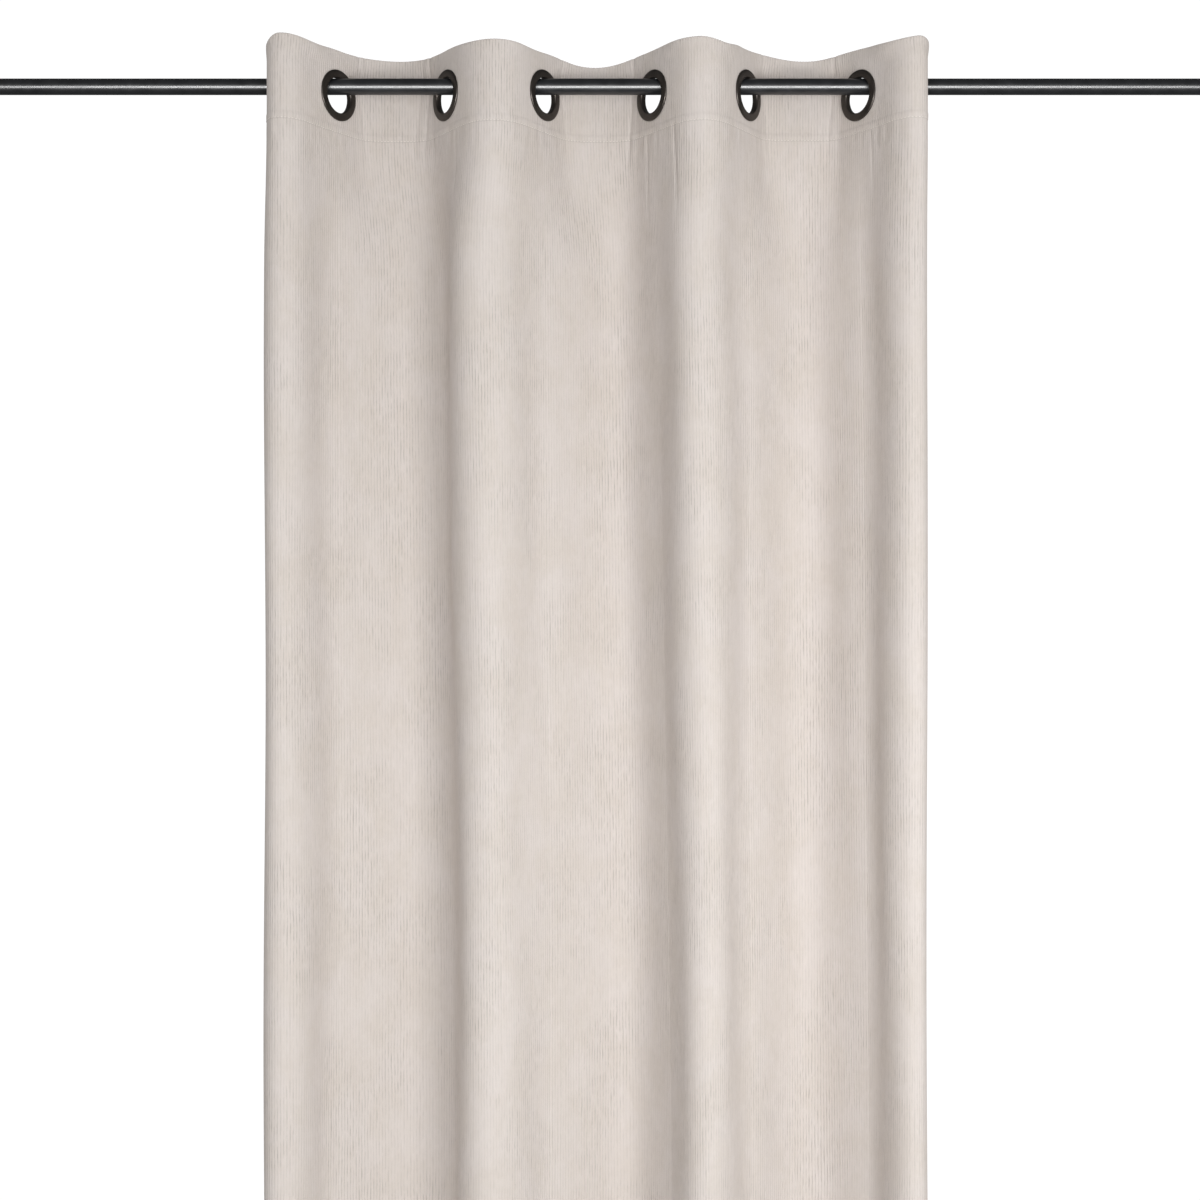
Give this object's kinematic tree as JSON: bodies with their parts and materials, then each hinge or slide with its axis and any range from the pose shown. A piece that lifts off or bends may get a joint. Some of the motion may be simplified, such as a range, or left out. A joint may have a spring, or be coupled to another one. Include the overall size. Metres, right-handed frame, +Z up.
{
  "type": "eyelet curtain on a rod",
  "caption": "Floor-length eyelet curtain in soft ribbed cloth, hung in deep folds on a dark round rod with wall brackets; its pleats fold together as it is drawn along the rod.",
  "frame": {"origin": "on the wall plane, level with the rod's axis and half way along the rod", "axes": "+Z up, +Y into the wall, +X to the right along the rod when the curtain is seen from the room"},
  "size_m": [1.668, 0.2, 2.4],
  "materials": {
    "curtain_cloth": "ribbed velvet pile, warm pale grey",
    "header_cloth": "plain woven facing",
    "eyelet_metal": "dark bronze, satin",
    "rod_lacquer": "black lacquer, semi-gloss",
    "bracket_lacquer": "black lacquer, satin",
    "screw_steel": "blackened"
  },
  "bodies": {
    "root": {"rod_tube": "rod_lacquer", "wall_plate_left": "bracket_lacquer", "wall_plate_right": "bracket_lacquer", "bracket_arm_left": "bracket_lacquer", "bracket_arm_right": "bracket_lacquer", "wall_screw_left_upper": "screw_steel", "wall_screw_left_lower": "screw_steel", "wall_screw_right_upper": "screw_steel", "wall_screw_right_lower": "screw_steel"},
    "finial_left": {"finial_left": "rod_lacquer"},
    "set_screw_left": {"set_screw_left": "screw_steel"},
    "finial_right": {"finial_right": "rod_lacquer"},
    "set_screw_right": {"set_screw_right": "screw_steel"},
    "pleat_0": {"panel_pleat_0": "curtain_cloth", "header_band_0": "header_cloth", "eyelet_front_0": "eyelet_metal", "eyelet_back_0": "eyelet_metal"},
    "pleat_1": {"panel_pleat_1": "curtain_cloth", "header_band_1": "header_cloth", "eyelet_front_1": "eyelet_metal", "eyelet_back_1": "eyelet_metal"},
    "pleat_2": {"panel_pleat_2": "curtain_cloth", "header_band_2": "header_cloth", "eyelet_front_2": "eyelet_metal", "eyelet_back_2": "eyelet_metal"},
    "pleat_3": {"panel_pleat_3": "curtain_cloth", "header_band_3": "header_cloth", "eyelet_front_3": "eyelet_metal", "eyelet_back_3": "eyelet_metal"},
    "pleat_4": {"panel_pleat_4": "curtain_cloth", "header_band_4": "header_cloth", "eyelet_front_4": "eyelet_metal", "eyelet_back_4": "eyelet_metal"},
    "pleat_5": {"panel_pleat_5": "curtain_cloth", "header_band_5": "header_cloth", "eyelet_front_5": "eyelet_metal", "eyelet_back_5": "eyelet_metal"},
    "pleat_6": {"panel_pleat_6": "curtain_cloth", "header_band_6": "header_cloth", "eyelet_front_6": "eyelet_metal", "eyelet_back_6": "eyelet_metal"},
    "pleat_7": {"panel_pleat_7": "curtain_cloth", "header_band_7": "header_cloth", "eyelet_front_7": "eyelet_metal", "eyelet_back_7": "eyelet_metal"}
  },
  "joints": [
    {"name": "curtain_draw", "type": "hinge", "parent": "root", "child": "pleat_0", "pos_m": [-0.387, -0.1, 0], "axis": [0, 0, -1], "range_deg": [-7, 20]},
    {"name": "fold_1", "type": "hinge", "parent": "pleat_0", "child": "pleat_1", "pos_m": [-0.34928, -0.16295, 0], "axis": [0, 0, -1], "range_deg": [-40, 14]},
    {"name": "fold_2", "type": "hinge", "parent": "pleat_1", "child": "pleat_2", "pos_m": [-0.24689, -0.05652, 0], "axis": [0, 0, -1], "range_deg": [-14, 40]},
    {"name": "fold_3", "type": "hinge", "parent": "pleat_2", "child": "pleat_3", "pos_m": [-0.12442, -0.15603, 0], "axis": [0, 0, -1], "range_deg": [-40, 14]},
    {"name": "fold_4", "type": "hinge", "parent": "pleat_3", "child": "pleat_4", "pos_m": [-0.00194, -0.05652, 0], "axis": [0, 0, -1], "range_deg": [-14, 40]},
    {"name": "fold_5", "type": "hinge", "parent": "pleat_4", "child": "pleat_5", "pos_m": [0.11876, -0.15811, 0], "axis": [0, 0, -1], "range_deg": [-40, 14]},
    {"name": "fold_6", "type": "hinge", "parent": "pleat_5", "child": "pleat_6", "pos_m": [0.24124, -0.0635, 0], "axis": [0, 0, -1], "range_deg": [-14, 40]},
    {"name": "fold_7", "type": "hinge", "parent": "pleat_6", "child": "pleat_7", "pos_m": [0.33985, -0.16129, 0], "axis": [0, 0, -1], "range_deg": [-40, 14]},
    {"name": "finial_left_turn", "type": "hinge", "parent": "root", "child": "finial_left", "pos_m": [-0.8, -0.1, 0], "axis": [-1, 0, 0], "continuous": true},
    {"name": "set_screw_left_turn", "type": "hinge", "parent": "root", "child": "set_screw_left", "pos_m": [-0.78, -0.1, 0], "axis": [0, 0, 1], "continuous": true},
    {"name": "finial_right_turn", "type": "hinge", "parent": "root", "child": "finial_right", "pos_m": [0.8, -0.1, 0], "axis": [1, 0, 0], "continuous": true},
    {"name": "set_screw_right_turn", "type": "hinge", "parent": "root", "child": "set_screw_right", "pos_m": [0.78, -0.1, 0], "axis": [0, 0, 1], "continuous": true}
  ],
  "couplings": [
    {"joint": "fold_1", "follows": "curtain_draw", "ratio": -2},
    {"joint": "fold_2", "follows": "curtain_draw", "ratio": 2},
    {"joint": "fold_3", "follows": "curtain_draw", "ratio": -2},
    {"joint": "fold_4", "follows": "curtain_draw", "ratio": 2},
    {"joint": "fold_5", "follows": "curtain_draw", "ratio": -2},
    {"joint": "fold_6", "follows": "curtain_draw", "ratio": 2},
    {"joint": "fold_7", "follows": "curtain_draw", "ratio": -2}
  ]
}
